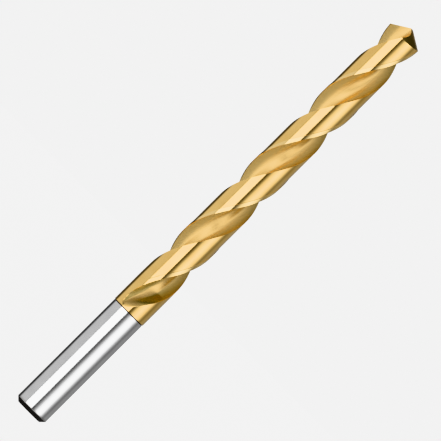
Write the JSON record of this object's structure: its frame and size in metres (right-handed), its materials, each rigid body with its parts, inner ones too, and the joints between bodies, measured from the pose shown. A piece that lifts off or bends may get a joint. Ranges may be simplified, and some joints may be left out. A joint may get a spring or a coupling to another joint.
{
  "type": "twist drill bit",
  "caption": "Twist drill bit: gold-coated fluted cutting body with a conical point, welded to a plain round steel shank with a chamfered end.",
  "frame": {"origin": "centre of the shank's flat end face", "axes": "+Z along the drill's axis from the shank's end face to the point"},
  "size_m": [0.009, 0.009, 0.124],
  "materials": {
    "coated_steel": "ground, with a gold titanium nitride coating",
    "ground_steel": "bare and finely ground, with a blackened end chamfer"
  },
  "bodies": {
    "root": {"fluted_body": "coated_steel", "shank": "ground_steel"}
  },
  "joints": []
}
